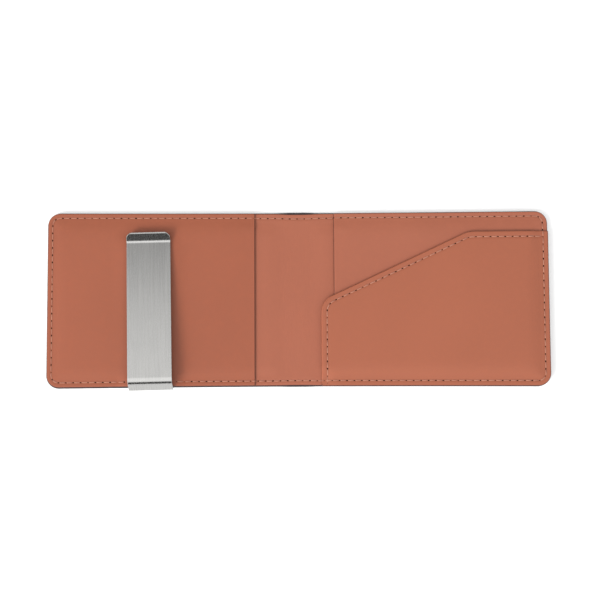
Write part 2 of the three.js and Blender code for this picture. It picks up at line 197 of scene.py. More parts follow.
JOINTS = {joint["name"]: joint for joint in frame["record"]["behaviour"]["joints"]}
SHELL_HIGH = box_mm("outer_shell_right")[1]
HALF_WIDTH, HALF_HEIGHT, SHELL_TOP = SHELL_HIGH
FOLD_X = JOINTS["fold_right"]["pos_m"][0] / MM
LINING_TOP = box_mm("lining_spine")[1][2]
BOARD_LINING_TOP = box_mm("lining_right")[1][2]
PANEL_MOUTH_X = box_mm("clip_panel")[1][0]
CHANNEL_TOP = box_mm("clip_panel")[1][2]
SLIP_MOUTH_X = box_mm("slip_panel")[0][0]
PANEL_SEAM_TOP = LINING_TOP + PANEL_THICKNESS
POCKET_LEFT_X = box_mm("pocket_panel")[0][0]
POCKET_TOP_Y = box_mm("pocket_panel")[1][1]
POCKET_SEAM_TOP = PANEL_SEAM_TOP + PANEL_THICKNESS
POCKET_KNEE_X = HALF_WIDTH - POCKET_LEVEL_TOP
POCKET_KNEE_Y = -HALF_HEIGHT + POCKET_STRAIGHT_SIDE

# The clip has a frame of its own: u across it, v along it from the cover's bottom edge.
FLEX = JOINTS["clip_flex"]
CLIP_YAW = math.atan2(FLEX["axis"][1], FLEX["axis"][0])
TURN_CENTRE_Z = FLEX["pos_m"][2] / MM
LEG_Z = TURN_CENTRE_Z - CLIP_BEND_RADIUS
TURN_CENTRE_V = (FLEX["pos_m"][1] / MM + HALF_HEIGHT) / math.cos(CLIP_YAW)
CLIP_X = FLEX["pos_m"][0] / MM + math.sin(CLIP_YAW) * TURN_CENTRE_V
CLIP_FRAME = Matrix.Translation((CLIP_X, -HALF_HEIGHT, 0)) @ Matrix.Rotation(CLIP_YAW, 4, "Z")
SLEEVE_LOW, SLEEVE_HIGH = box_mm("clip_sleeve")
CLIP_REACH = (box_mm("clip_arm")[1][1] + HALF_HEIGHT) / math.cos(CLIP_YAW)
TIP_V = CLIP_REACH - math.sin(CLIP_YAW) * (CLIP_WIDTH / 2 - CLIP_LIP_CORNER)
LEG_END_V = (box_mm("clip_leg")[1][1] + HALF_HEIGHT) / math.cos(CLIP_YAW) - CLIP_LEG_SHORT
CREASE_Z = CHANNEL_TOP + CLIP_CREASE_HEIGHT + CLIP_THICKNESS / 2
CONTACT_Z = CHANNEL_TOP + CLIP_CONTACT_GAP + CLIP_THICKNESS / 2


def clip_coordinates(x, y):
    """u across the clip and v along it, for points of the wallet."""
    dx, dy = x - CLIP_X, y + HALF_HEIGHT
    cos, sin = math.cos(CLIP_YAW), math.sin(CLIP_YAW)
    return dx * cos + dy * sin, dy * cos - dx * sin


# ---- Outlines ----


def unit(vector):
    return vector / np.linalg.norm(vector)


def left_of(direction):
    return np.array([-direction[1], direction[0]])


def turn_between(into, out):
    """The angle from one direction to another, positive to the left."""
    return math.atan2(into[0] * out[1] - into[1] * out[0], into @ out)


def rounded_corner(corner, into, turn, radius, count):
    """Points round a corner, which is entered in the direction into."""
    start = corner - into * radius * math.tan(abs(turn) / 2)
    centre = start + math.copysign(radius, turn) * left_of(into)
    first = math.atan2(*(start - centre)[::-1])
    angles = first + turn * np.linspace(0, 1, count)
    return centre + radius * np.column_stack([np.cos(angles), np.sin(angles)])


def path_lengths(path):
    """How far along a path each of its points is."""
    return np.concatenate([[0], np.cumsum(np.linalg.norm(np.diff(path, axis=0), axis=1))])


class Outline:
    """A closed outline, anticlockwise, of (x, y, radius) corners. An edge in cuts stays put when
    the outline is drawn further in. Every inset has the same number of points."""

    def __init__(self, corners, cuts=()):
        self.points = [np.array(corner[:2], float) for corner in corners]
        self.radii = [corner[2] for corner in corners]
        self.cuts = set(cuts)
        self.edges = [b - a for a, b in zip(self.points, self.points[1:] + self.points[:1])]
        self.ways = [unit(edge) for edge in self.edges]
        self.arc_counts = []
        self.line_counts = []
        for i in range(len(corners)):
            turn = abs(turn_between(self.ways[i - 1], self.ways[i]))
            steps = max(3, math.ceil(turn * self.radii[i] / ARC_STEP)) if self.radii[i] else 0
            self.arc_counts.append(steps)
            self.line_counts.append(max(1, round(np.linalg.norm(self.edges[i]) / LINE_STEP)))

    def ring(self, inset):
        """The outline's points, drawn in by inset millimetres."""
        count = len(self.points)
        arcs = []
        for i in range(count):
            into, out = self.ways[i - 1], self.ways[i]
            moves = [0 if edge in self.cuts else inset for edge in ((i - 1) % count, i)]
            normals = np.array([left_of(into), left_of(out)])
            corner = self.points[i] + np.linalg.solve(normals, moves)
            turn = turn_between(into, out)
            if not self.radii[i]:
                arcs.append(corner[None])
                continue
            radius = max(self.radii[i] - math.copysign(inset, turn), 0.02)
            arcs.append(rounded_corner(corner, into, turn, radius, self.arc_counts[i] + 1))
        points = []
        for i in range(count):
            points.extend(arcs[i])
            start, end = arcs[i][-1], arcs[(i + 1) % count][0]
            steps = self.line_counts[i]
            points.extend(start + (end - start) * k / steps for k in range(1, steps))
        return np.array(points)


def cover_corners(side, inner_x, inset, inner_radius):
    """One cover's outline from inner_x to its rounded outer corners, as corners."""
    x, y = side * (HALF_WIDTH - inset), HALF_HEIGHT - inset
    radius = CORNER_RADIUS - inset
    corners = [
        (inner_x, -y, inner_radius),
        (x, -y, radius),
        (x, y, radius),
        (inner_x, y, inner_radius),
    ]
    return corners if side > 0 else corners[::-1]


def pocket_corners(rim, inset=0):
    """The card pocket's outline. Its free edges are drawn in by inset."""
    slope = math.atan2(POCKET_TOP_Y - POCKET_KNEE_Y, POCKET_KNEE_X - POCKET_LEFT_X)
    knee_y = POCKET_KNEE_Y - inset * math.tan((math.pi / 2 - slope) / 2)
    knee_x = POCKET_KNEE_X + inset * math.tan(slope / 2)
    right, bottom = HALF_WIDTH - rim, -HALF_HEIGHT + rim
    left, top = POCKET_LEFT_X + inset, POCKET_TOP_Y - inset
    return [
        (left, bottom, SHARP_CORNER),
        (right, bottom, CORNER_RADIUS - rim),
        (right, top, SHARP_CORNER),
        (knee_x, top, POCKET_UPPER_RADIUS - inset),
        (left, knee_y, POCKET_LOWER_RADIUS - inset),
    ]


def open_path(corners, step):
    """Points a step apart along an open path of (x, y, radius) corners."""
    points = [np.array(corners[0][:2], float)]
    for before, corner, after in zip(corners, corners[1:], corners[2:]):
        here = np.array(corner[:2], float)
        into = unit(here - np.array(before[:2], float))
        out = unit(np.array(after[:2], float) - here)
        turn = turn_between(into, out)
        count = max(4, math.ceil(abs(turn) * corner[2] / 0.15))
        points.extend(rounded_corner(here, into, turn, corner[2], count))
    points.append(np.array(corners[-1][:2], float))
    points = np.array(points)
    lengths = path_lengths(points)
    places = np.linspace(0, lengths[-1], max(2, round(lengths[-1] / step) + 1))
    return np.column_stack([np.interp(places, lengths, points[:, k]) for k in (0, 1)])


# ---- Heights of the leather ----


def smooth(low, high, value):
    """0 below low, 1 above high, and a soft rise between."""
    t = np.clip((value - low) / (high - low), 0, 1)
    return t * t * (3 - 2 * t)


def edge_distance(x, y):
    """How far a point is inside the wallet's outer edge."""
    qx = np.abs(x) - (HALF_WIDTH - CORNER_RADIUS)
    qy = np.abs(y) - (HALF_HEIGHT - CORNER_RADIUS)
    outside = np.hypot(np.maximum(qx, 0), np.maximum(qy, 0))
    return CORNER_RADIUS - outside - np.minimum(np.maximum(qx, qy), 0)


def path_distance(x, y, path):
    """The distance from each point to a path of straight pieces."""
    best = np.full(x.shape, 1e9)
    for (ax, ay), (bx, by) in zip(path, path[1:]):
        dx, dy = bx - ax, by - ay
        t = np.clip(((x - ax) * dx + (y - ay) * dy) / (dx * dx + dy * dy), 0, 1)
        best = np.minimum(best, np.hypot(x - ax - t * dx, y - ay - t * dy))
    return best


def waves(x, y, seed):
    """Slow uneven waves, so that the leather doesn't lie dead flat."""
    size = WAVE_LENGTH
    return np.array([noise.noise(Vector((a / size, b / size, seed))) for a, b in zip(x, y)])


def over_clip_leg(x, y, margin, soft):
    """1 over the clip's leg and the sleeve round it, falling to 0 over a soft edge."""
    u, v = clip_coordinates(x, y)
    half = CLIP_WIDTH / 2 + margin
    end = LEG_END_V + margin
    return (1 - smooth(half, half + soft, np.abs(u))) * (1 - smooth(end, end + soft, v))


def lining_height(x, y):
    raised = smooth(*BOARD_EDGE, edge_distance(x, y)) * smooth(FOLD_X + 2, FOLD_X + 3, np.abs(x))
    raised = raised * (1 - over_clip_leg(x, y, *LINING_BED))
    return LINING_TOP + (BOARD_LINING_TOP - LINING_TOP) * raised


def slip_height(x, y):
    return PANEL_SEAM_TOP + PANEL_LIFT * smooth(*PANEL_RISE, edge_distance(x, y))


def clip_panel_height(x, y):
    plain = slip_height(x, y)
    return plain + (CHANNEL_TOP - plain) * over_clip_leg(x, y, *CHANNEL_EDGE)


def pocket_height(x, y):
    seam = PANEL_SEAM_TOP + (POCKET_SEAM_TOP - PANEL_SEAM_TOP) * smooth(12, SLIP_MOUTH_X, x)
    top = POCKET_SEAM_TOP + POCKET_LIFT
    return seam + (top - seam) * smooth(*POCKET_RISE, edge_distance(x, y))


def pocket_underside(x, y):
    """The pocket's leather is turned under along its free edges."""
    free_edge = [corner[:2] for corner in (pocket_corners(0)[k] for k in (0, 4, 3, 2))]
    hem = 1 - smooth(HEM_WIDTH - 0.3, HEM_WIDTH + 0.3, path_distance(x, y, free_edge))
    hem = hem * smooth(5, 7.5, edge_distance(x, y))
    return pocket_height(x, y) - PANEL_THICKNESS - HEM_THICKNESS * hem


def upper_surface(x, y):
    """The height of the uppermost leather."""
    height = lining_height(x, y)
    height = np.where(x < PANEL_MOUTH_X, clip_panel_height(x, y), height)
    height = np.where(x > SLIP_MOUTH_X, slip_height(x, y), height)
    in_pocket = (x > POCKET_LEFT_X) & (y < POCKET_TOP_Y)
    return np.where(in_pocket, pocket_height(x, y), height)


# ---- How the long edges draw in ----


def waist(x, y):
    """The wallet is a little narrower across its middle than at its two ends."""
    return y * (1 - WAIST / HALF_HEIGHT * (1 - (np.abs(x) / HALF_WIDTH) ** 1.5))


def at_spine_edge(x, y, amounts):
    """An amount for the top or bottom edge where it crosses the spine, falling to 0 round it."""
    amount = np.where(y > 0, amounts[1], amounts[-1])
    near_edge = smooth(0.8, 1, np.abs(y) / HALF_HEIGHT)
    return np.sign(y) * amount * near_edge * np.exp(-((x / (FOLD_X + 1)) ** 4))


def lining_shift(x, y):
    return waist(x, y) - at_spine_edge(x, y, SPINE_DIP)


def shell_shift(x, y):
    return waist(x, y) + at_spine_edge(x, y, SPINE_BULGE)


# ---- Seams ----

SEAM_X = HALF_WIDTH - STITCH_INSET
SEAM_Y = HALF_HEIGHT - STITCH_INSET
SEAM_RADIUS = CORNER_RADIUS - STITCH_INSET
SEAM_START_X = box_mm("edge_thread_left_lower")[0][0]
SEAM_END_X = CLIP_X - SEAM_TO_CLIP

EDGE_SEAM = open_path(
    [
        (SEAM_START_X, -SEAM_Y),
        (SEAM_X, -SEAM_Y, SEAM_RADIUS),
        (SEAM_X, SEAM_Y, SEAM_RADIUS),
        (-SEAM_X, SEAM_Y, SEAM_RADIUS),
        (-SEAM_X, -SEAM_Y, SEAM_RADIUS),
        (SEAM_END_X, -SEAM_Y),
    ],
    0.5,
)
POCKET_SEAM_CORNERS = pocket_corners(0, STITCH_INSET)
POCKET_SEAM = open_path(
    [
        (POCKET_SEAM_CORNERS[0][0], -HALF_HEIGHT + POCKET_SEAM_FOOT),
        POCKET_SEAM_CORNERS[4],
        POCKET_SEAM_CORNERS[3],
        (SEAM_X - POCKET_SEAM_SHORT, POCKET_TOP_Y - STITCH_INSET),
    ],
    0.5,
)


def groove(x, y, paths):
    """How far the leather is drawn down along its seams, and the distance to the nearest."""
    distance = np.min([path_distance(x, y, path) for path in paths], axis=0)
    return GROOVE_DEPTH * np.exp(-((distance / GROOVE_WIDTH) ** 2)), distance


# ---- Meshes ----


def mesh_object(name, vertices, faces, material, attributes=None):
    """An object from millimetre vertices, smooth, with its rest place kept for its material."""
    mesh = bpy.data.meshes.new(name)
    vertices = np.asarray(vertices, float) * MM
    mesh.from_pydata(vertices.tolist(), [], [list(map(int, face)) for face in faces])
    mesh.polygons.foreach_set("use_smooth", [True] * len(mesh.polygons))
    for key, values in (attributes or {}).items():
        attribute = mesh.attributes.new(key, "FLOAT", "POINT")
        attribute.data.foreach_set("value", np.asarray(values, np.float32))
    if "rest" not in mesh.attributes:
        rest = mesh.attributes.new("rest", "FLOAT_VECTOR", "POINT")
        rest.data.foreach_set("vector", vertices.astype(np.float32).ravel())
    mesh.materials.append(material)
    mesh.update()
    mesh.validate()
    obj = bpy.data.objects.new(name, mesh)
    bpy.context.collection.objects.link(obj)
    return obj


def fill(ring, spacing):
    """Points and triangles that fill a ring with an even grid. The ring's points come first."""
    low, high = ring.min(axis=0), ring.max(axis=0)
    columns = np.arange(low[0] + spacing / 2, high[0], spacing)
    rows = np.arange(low[1] + spacing / 2, high[1], spacing)
    grid = np.array([(x, y) for x in columns for y in rows])
    ends = np.roll(ring, -1, axis=0)
    inside = np.zeros(len(grid), bool)
    for (ax, ay), (bx, by) in zip(ring, ends):
        crosses = (ay > grid[:, 1]) != (by > grid[:, 1])
        if ay != by:
            at = ax + (grid[:, 1] - ay) / (by - ay) * (bx - ax)
            inside ^= crosses & (grid[:, 0] < at)
    clear = path_distance(grid[:, 0], grid[:, 1], np.vstack([ring, ring[:1]])) > spacing * 0.4
    points = np.vstack([ring, grid[inside & clear]])
    found = geometry.delaunay_2d_cdt(
        [Vector(point) for point in points], [], [list(range(len(ring)))], 1, 1e-6
    )
    flat, _, triangles, sources = found[:4]
    index = [source[0] if source else -1 for source in sources]
    if len(flat) != len(points) or -1 in index:
        raise ValueError("the fill added or lost points")
    return points, [[index[k] for k in triangle] for triangle in triangles]


def leather_sheet(
    name,
    outline,
    thickness,
    top_height,
    material,
    seams,
    bottom_height=None,
    lower_rings=PLAIN_RINGS,
    rounding=EDGE_ROUNDING,
    groove_share=1,
    wave_height=WAVE_HEIGHT,
    painted=None,
    shift=waist,
):
    """A closed sheet with rounded edges, whose upper face follows top_height(x, y).

    seams are the paths where groove_share of a groove is cut in it. bottom_height gives the lower
    face, which otherwise follows the upper one, and lower_rings are the insets of its rings of
    points. painted(x, y) says where its cut edge is painted, which otherwise is all round. shift
    gives the y that each point is moved to."""
    angles = np.radians([0, 30, 60, 90])
    edge = [(rounding * (1 - math.cos(a)), math.sin(a)) for a in angles]
    levels = [(inset, 1) for inset in SEAM_RINGS[::-1]] + edge[::-1]
    levels += [(inset, -rise) for inset, rise in edge[1:]]
    levels += [(inset, -1) for inset in lower_rings]
    rings = [outline.ring(inset) for inset, _ in levels]
    count = len(rings[0])
    plan = np.vstack(rings)
    rise = np.repeat([level[1] for level in levels], count)
    inset = np.repeat([level[0] for level in levels], count)
    faces = []
    for k in range(len(levels) - 1):
        for i in range(count):
            j = (i + 1) % count
            faces.append((k * count + i, (k + 1) * count + i, (k + 1) * count + j, k * count + j))
    for ring_index, flip in ((0, False), (len(levels) - 1, True)):
        points, triangles = fill(rings[ring_index], FILL_SPACING)
        base = len(plan) - count
        ids = [ring_index * count + k if k < count else base + k for k in range(len(points))]
        plan = np.vstack([plan, points[count:]])
        extra = len(points) - count
        rise = np.concatenate([rise, np.full(extra, -1.0 if flip else 1.0)])
        inset = np.concatenate([inset, np.full(extra, FAR_INSIDE)])
        for a, b, c in triangles:
            faces.append((ids[a], ids[c], ids[b]) if flip else (ids[a], ids[b], ids[c]))
    x, y = plan.T
    drawn, distance = groove(x, y, seams)
    top = top_height(x, y) - drawn * groove_share
    bottom = bottom_height(x, y) if bottom_height else top_height(x, y) - thickness
    top = top + wave_height * waves(x, y, len(name)) * smooth(3, FAR_INSIDE, inset)
    z = (top + bottom) / 2 + rise * (top - bottom) / 2
    vertices = np.column_stack([x, shift(x, y), z])
    on_edge = (inset < rounding * 0.6) * (np.abs(rise) < 0.9)
    attributes = {
        "edge": inset,
        "seam": distance,
        "paint": on_edge * (painted(x, y) if painted else 1.0),
    }
    obj = mesh_object(name, vertices, faces, material, attributes)
    tidy_mesh(obj)
    return obj


def tidy_mesh(obj):
    """Joins points that meet, and keeps the flat face of a cut apart in the shading."""
    bm = bmesh_of(obj)
    bmesh.ops.remove_doubles(bm, verts=bm.verts, dist=2e-6)
    bmesh.ops.dissolve_degenerate(bm, edges=bm.edges, dist=1e-7)
    bmesh.ops.recalc_face_normals(bm, faces=bm.faces)
    for edge in bm.edges:
        on_cut = [all(abs(v.co.x) < 1e-6 for v in face.verts) for face in edge.link_faces]
        edge.smooth = not (any(on_cut) and not all(on_cut))
    bm.to_mesh(obj.data)
    bm.free()


def bmesh_of(obj):
    bm = bmesh.new()
    bm.from_mesh(obj.data)
    return bm


def joined(parts):
    """Vertices, faces and values of many small meshes as one."""
    vertices, faces, values = [], [], []
    base = 0
    for points, polygons, value in parts:
        vertices.append(points)
        faces.extend([[base + k for k in polygon] for polygon in polygons])
        values.append(value)
        base += len(points)
    return np.vstack(vertices), faces, np.concatenate(values)


def tube_faces(rings, sides):
    """The faces between rings of points, with both ends closed."""
    faces = []
    for k in range(rings - 1):
        for i in range(sides):
            j = (i + 1) % sides
            faces.append((k * sides + i, k * sides + j, (k + 1) * sides + j, (k + 1) * sides + i))
    faces.append(list(range(sides))[::-1])
    faces.append([(rings - 1) * sides + i for i in range(sides)])
    return faces


def on_path(path, lengths, place, reach=0.3):
    """The point at a length along a path, and the direction there, over reach to each side."""
    point, ahead, behind = (
        np.array([np.interp(at, lengths, path[:, k]) for k in (0, 1)])
        for at in (place, place + reach, place - reach)
    )
    return point, unit(ahead - behind)


def height_at(surface, point):
    return float(surface(point[:1], point[1:])[0])


def stitch_mesh(at, start, end, surface, facing, shift, loose):
    """One stitch: a short strand that rises out of one hole and goes down the next."""
    sides, steps = 8, 9
    points, values = [], []
    for k in range(steps + 1):
        t = k / steps
        centre, along = at(start + (end - start) * t)
        across = left_of(along)
        centre = centre + across * STITCH_SLANT * loose * (2 * t - 1)
        arch = math.sin(math.pi * t) ** 0.5
        height = height_at(surface, centre) + facing * (
            (STITCH_ARCH + LOOSE_ARCH * loose) * arch - STITCH_SINK
        )
        plump = 0.7 + 0.3 * math.sin(math.pi * t) ** 0.6
        for i in range(sides):
            angle = 2 * math.pi * i / sides
            px, py = centre + across * math.cos(angle) * STITCH_HALF_WIDTH * plump
            rise = math.sin(angle) * STITCH_HALF_HEIGHT * plump
            points.append((px, shift(px, py), height + rise))
            values.append((t, loose))
    return np.array(points), tube_faces(steps + 1, sides), np.array(values)


def hole_shade_mesh(at, place, surface, facing, shift, size):
    """The dark mark of one punched hole: a disc of painted shade where the hole's shadow falls."""
    centre, along = at(place)
    across = left_of(along)
    height = height_at(surface, centre) + facing * (HOLE_LIFT - GROOVE_DEPTH)
    sides = 10
    points = []
    for angle in np.linspace(0, 2 * math.pi, sides, endpoint=False):
        reach = along * HOLE_LENGTH * math.cos(angle) + across * HOLE_WIDTH * math.sin(angle)
        px, py = centre + size * reach
        points.append((px, shift(px, py), height))
    x, y = centre
    points += [(x, shift(x, y), height + rise) for rise in (HOLE_DOME, -HOLE_UNDERSIDE)]
    faces = []
    for i in range(sides):
        j = (i + 1) % sides
        faces += [(i, j, sides), (j, i, sides + 1)]
    return np.array(points), faces, np.full((len(points), 2), size)


def seam_objects(name, path, surface, facing, materials, keep, shift=waist):
    """A seam's stitches and its punched holes, for the part of the path that keep(x) accepts."""
    lengths = path_lengths(path)
    count = round(lengths[-1] / STITCH_PITCH)
    pitch = lengths[-1] / count
    gap = pitch * (1 - STITCH_SHARE) / 2
    chance = np.random.default_rng(count)
    looseness, hole_sizes = chance.uniform(0, 1, count), chance.uniform(0.5, 1.1, count + 1)

    def at(place):
        return on_path(path, lengths, place)

    strands, hole_shades = [], []
    for k in range(count):
        start, end = k * pitch + gap, (k + 1) * pitch - gap
        if keep(at((start + end) / 2)[0][0]):
            strands.append(stitch_mesh(at, start, end, surface, facing, shift, looseness[k]))
    # each hole is drawn as a dark disc of painted shade
    for k in range(count + 1):
        if keep(at(k * pitch)[0][0]):
            hole_shades.append(hole_shade_mesh(at, k * pitch, surface, facing, shift, hole_sizes[k]))
    objects = []
    for kind, parts, material in zip(("stitches", "holes"), (strands, hole_shades), materials):
        vertices, faces, values = joined(parts)
        attributes = {"along": values[:, 0], "loose": values[:, 1]}
        objects.append(mesh_object(f"{name}_{kind}", vertices, faces, material, attributes))
    return objects


# ---- Materials ----


def linear(colour):
    """A colour given as 0 to 255 display values, as the linear values that a shader takes."""
    values = [channel / 255 for channel in colour]
    values = [v / 12.92 if v <= 0.04045 else ((v + 0.055) / 1.055) ** 2.4 for v in values]
    return (*values, 1)


def shaded(colour, factor):
    return (*(channel * factor for channel in colour[:3]), 1)


class Nodes:
    """A material's node tree, with its shader and a few helpers to build on it."""

    def __init__(self, name):
        self.material = bpy.data.materials.new(name)
        self.material.use_nodes = True
        self.tree = self.material.node_tree
        self.shader = self.tree.nodes["Principled BSDF"]

    def add(self, kind, **settings):
        node = self.tree.nodes.new(f"ShaderNode{kind}")
        for key, value in settings.items():
            if hasattr(node, key):
                setattr(node, key, value)
            else:
                node.inputs[key.replace("_", " ")].default_value = value
        return node

    def link(self, output, socket):
        self.tree.links.new(output, socket)

    def attribute(self, name, output="Fac"):
        return self.add("Attribute", attribute_name=name).outputs[output]

    def feed(self, socket, output):
        """Links an output to one of the shader's sockets."""
        self.link(output, self.shader.inputs[socket])

    def fix(self, **values):
        """Sets plain values on the shader's own sockets."""
        for key, value in values.items():
            self.shader.inputs[key.replace("_", " ")].default_value = value

    def scaled(self, vector, scale):
        node = self.add("Mapping", Scale=scale)
        self.link(vector, node.inputs["Vector"])
        return node.outputs["Vector"]

    def noise(self, vector, scale, detail=2, roughness=0.5):
        node = self.add("TexNoise", Scale=scale, Detail=detail, Roughness=roughness)
        self.link(vector, node.inputs["Vector"])
        return node.outputs["Fac"]

    def cells(self, vector, scale, feature="F1"):
        node = self.add("TexVoronoi", Scale=scale)
        node.feature = feature
        self.link(vector, node.inputs["Vector"])
        return node.outputs["Distance"]

    def remap(self, value, from_low, from_high, to_low, to_high):
        node = self.add("MapRange", From_Min=from_low, From_Max=from_high)
        node.inputs["To Min"].default_value = to_low
        node.inputs["To Max"].default_value = to_high
        self.link(value, node.inputs["Value"])
        return node.outputs["Result"]

    def math(self, operation, a, b):
        node = self.add("Math", operation=operation)
        for socket, value in zip(node.inputs, (a, b)):
            if isinstance(value, (int, float)):
                socket.default_value = value
            else:
                self.link(value, socket)
        return node.outputs["Value"]

    def mix(self, factor, a, b, blend="MIX"):
        node = self.add("Mix", data_type="RGBA", blend_type=blend)
        self.link(factor, node.inputs[0])
        for socket, value in ((node.inputs[6], a), (node.inputs[7], b)):
            if isinstance(value, tuple):
                socket.default_value = value
            else:
                self.link(value, socket)
        return node.outputs[2]

    def part(self, vector, axis):
        """The X, Y or Z of a vector."""
        node = self.add("SeparateXYZ")
        self.link(vector, node.inputs[0])
        return node.outputs[axis]

    def bump(self, height, strength, distance, normal=None):
        node = self.add("Bump", Strength=strength, Distance=distance)
        self.link(height, node.inputs["Height"])
        if normal:
            self.link(normal, node.inputs["Normal"])
        return node.outputs["Normal"]


def leather(name, colour, paint, roughness, creased=False):
    """Smooth finished leather: slow colour changes, fine grain and pores, a painted highlight along its
    edges and painted shade along its seams.
    """
    n = Nodes(name)
    colour, paint = linear(colour), linear(paint)
    rest = n.attribute("rest", "Vector")
    deep, pale = shaded(colour, 0.8), shaded(colour, 1.14)
    clouds = n.noise(rest, 24, 3, 0.5)
    mottle = n.noise(rest, 420, 3, 0.6)
    base = n.mix(n.remap(clouds, 0.3, 0.7, 0.28, 0), colour, deep)
    base = n.mix(n.remap(mottle, 0.45, 0.8, 0, 0.3), base, pale)
    pores = n.cells(rest, 1500)
    base = n.mix(n.remap(pores, 0.0, 0.16, 0.35, 0), base, deep)
    # painted shade: the leather is darker in the groove along each seam
    base = n.mix(n.remap(n.attribute("seam"), 0.3, 1.1, 0.3, 0), base, deep)
    # painted highlight: the leather is paler within a millimetre of its edges
    base = n.mix(n.remap(n.attribute("edge"), 0.1, 0.8, 0.45, 0), base, pale)
    base = n.mix(n.attribute("paint"), base, paint)
    n.feed("Base Color", base)
    low, high = roughness - 0.06, roughness + 0.06
    n.feed("Roughness", n.remap(mottle, 0.3, 0.7, low, high))
    n.fix(Specular_IOR_Level=0.3)
    grain = n.cells(rest, 2400, "DISTANCE_TO_EDGE")
    grain = n.math("ADD", n.remap(grain, 0, 0.2, 0, 1), n.noise(rest, 900, 4, 0.6))
    normal = n.bump(grain, 0.3, 0.00002)
    if creased:
        wrinkles = n.noise(n.scaled(rest, (1, 0.08, 1)), 1400, 3, 0.6)
        reach, middle = (FOLD_X + 4) * MM, FOLD_X * MM
        near = n.remap(n.math("ABSOLUTE", n.part(rest, "X"), 0), reach, middle, 0, 1)
        normal = n.bump(n.math("MULTIPLY", wrinkles, near), 0.5, 0.00006, normal)
    n.feed("Normal", normal)
    return n.material


def thread_material(name, colour, deep):
    """Twisted thread: slanting plies that show as light and dark bands, the dark bands painted shade between
    the plies, and a loose stitch darker towards one end.
    """
    n = Nodes(name)
    colour, deep = linear(colour), linear(deep)
    along = n.attribute("along")
    plies = n.math("SINE", n.math("MULTIPLY", along, 38), 0)
    fuzz = n.noise(n.attribute("rest", "Vector"), 2600, 3)
    darker_end = n.math("MULTIPLY", n.remap(along, 0.15, 0.95, 0, 1), n.attribute("loose"))
    # a loose stitch is darker towards one end
    base = n.mix(n.remap(darker_end, 0, 0.8, 0, 0.9), colour, deep)
    # painted shade: dark bands where the plies meet
    base = n.mix(n.remap(plies, -1, 1, 0.3, 0), base, deep)
    n.feed("Base Color", base)
    n.fix(Roughness=0.62, Sheen_Weight=0.2)
    n.feed("Normal", n.bump(n.math("ADD", plies, fuzz), 0.5, 0.00004))
    return n.material


def hole_shade_material(name, colour):
    # painted shade: the dark colour stands in for the shadow inside a punched hole
    n = Nodes(name)
    colour = linear(colour)
    shade = n.noise(n.attribute("rest", "Vector"), 700)
    n.feed("Base Color", n.mix(shade, colour, shaded(colour, 0.4)))
    n.fix(Roughness=0.9, Specular_IOR_Level=0.1)
    return n.material


def brushed_steel(name):
    """Steel brushed along the strip. Its rest attribute holds the place across and along it."""
    n = Nodes(name)
    place = n.attribute("rest", "Vector")
    fine = n.noise(n.scaled(place, (9000, 60, 1)), 1, 4, 0.7)
    broad = n.noise(n.scaled(place, (1100, 30, 1)), 1, 3, 0.6)
    streaks = n.math("ADD", n.math("MULTIPLY", fine, 0.6), n.math("MULTIPLY", broad, 0.4))
    tone = n.remap(streaks, 0.38, 0.62, 0, 1)
    base = n.mix(tone, shaded(STEEL_COLOUR, 0.92), shaded(STEEL_COLOUR, 1.07))
    smudge = n.remap(n.noise(place, 110, 3), 0.5, 0.8, 0, 0.3)
    n.feed("Base Color", n.mix(smudge, base, shaded(STEEL_COLOUR, 0.85)))
    n.feed("Roughness", n.remap(streaks, 0.3, 0.7, 0.22, 0.31))
    n.fix(Metallic=1, Anisotropic=0.6)
    n.feed("Tangent", n.add("Tangent", direction_type="UV_MAP", uv_map="strip").outputs[0])
    n.feed("Normal", n.bump(fine, 0.2, 0.00001))
    return n.material


def woven(name, colour):
    """Plain-woven lining fabric with threads a quarter of a millimetre apart."""
    n = Nodes(name)
    colour = linear(colour)
    rest = n.attribute("rest", "Vector")
    deep = shaded(colour, 0.45)
    warp = n.math("SINE", n.math("MULTIPLY", n.part(rest, "X"), 25000), 0)
    weft = n.math("SINE", n.math("MULTIPLY", n.part(rest, "Y"), 25000), 0)
    weave = n.math("MULTIPLY", warp, weft)
    shade = n.mix(n.remap(weave, -1, 1, 0, 0.6), colour, deep)
    patches = n.remap(n.noise(rest, 150, 3), 0.4, 0.7, 0, 0.4)
    n.feed("Base Color", n.mix(patches, shade, deep))
    n.fix(Roughness=0.85, Sheen_Weight=0.3)
    n.feed("Normal", n.bump(weave, 0.4, 0.00005))
    return n.material


def grey_board(name, colour):
    n = Nodes(name)
    colour = linear(colour)
    coordinates = n.add("TexCoord").outputs["Object"]
    fibres = n.noise(n.scaled(coordinates, (1, 6, 1)), 600, 5, 0.7)
    n.feed("Base Color", n.mix(fibres, colour, shaded(colour, 0.6)))
    n.fix(Roughness=0.95)
    n.feed("Normal", n.bump(fibres, 0.4, 0.00004))
    return n.material


# ---- Pieces ----

SIDES = {"left": -1, "right": 1}


def bend(obj):
    """Bakes the piece's place into its mesh."""
    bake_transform(obj)


def half_outline(side, inset):
    """Half of the wallet, cut square at the middle of the spine."""
    return Outline(cover_corners(SIDES[side], 0, inset, 0), cuts=[3])


def make_shell(side, material):
    def lower_face(x, y):
        return BACK_GROOVE_DEPTH / GROOVE_DEPTH * groove(x, y, [EDGE_SEAM])[0]

    obj = leather_sheet(
        f"outer_leather_{side}",
        half_outline(side, 0),
        SHELL_TOP,
        lambda x, y: np.full(x.shape, SHELL_TOP),
        material,
        bottom_height=lower_face,
        lower_rings=SEAM_RINGS,
        rounding=SHELL_EDGE_ROUNDING,
        seams=[EDGE_SEAM],
        groove_share=0,
        wave_height=0,
        shift=shell_shift,
    )
    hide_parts(f"outer_shell_{side}", "outer_shell_spine")
    bend(obj)


